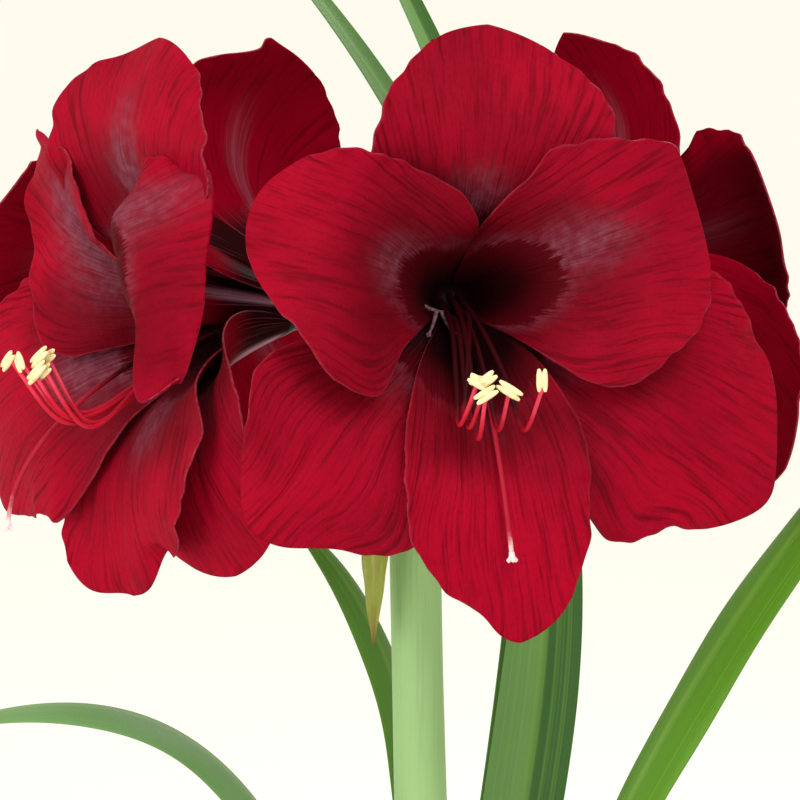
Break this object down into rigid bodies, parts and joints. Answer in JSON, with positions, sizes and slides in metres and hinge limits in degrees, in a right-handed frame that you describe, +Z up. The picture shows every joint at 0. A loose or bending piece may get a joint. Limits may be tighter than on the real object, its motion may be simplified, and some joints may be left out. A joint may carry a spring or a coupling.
{
  "type": "potted amaryllis",
  "caption": "Amaryllis in flower: a tall green scape with an umbel of large dark red blooms and strap leaves, growing from a bulb set in a filled terracotta pot.",
  "frame": {"origin": "middle of the pot's flat underside, where the pot stands on a table or sill", "axes": "+Z up along the pot's axis and the scape, -Y towards the viewer whom the front bloom faces, +X to that viewer's right"},
  "size_m": [0.3741, 0.4209, 0.8012],
  "materials": {
    "clay": "matte",
    "soil": "matte",
    "tunic": "matte",
    "stem": "satin",
    "leaf": "satin",
    "bract": "matte",
    "petal": "satin",
    "stamen": "satin"
  },
  "bodies": {
    "root": {"pot": "clay", "soil": "soil", "bulb": "tunic", "scape": "stem", "leaf_low_left": "leaf", "leaf_high_left": "leaf", "leaf_right": "leaf", "leaf_upright": "leaf", "leaf_back_left": "leaf", "bract_left": "bract", "bract_right": "bract", "perianth_front": "petal", "stamens_front": "stamen", "perianth_left": "petal", "stamens_left": "stamen", "perianth_back": "petal", "stamens_back": "stamen", "perianth_right": "petal", "stamens_right": "stamen"}
  },
  "joints": []
}
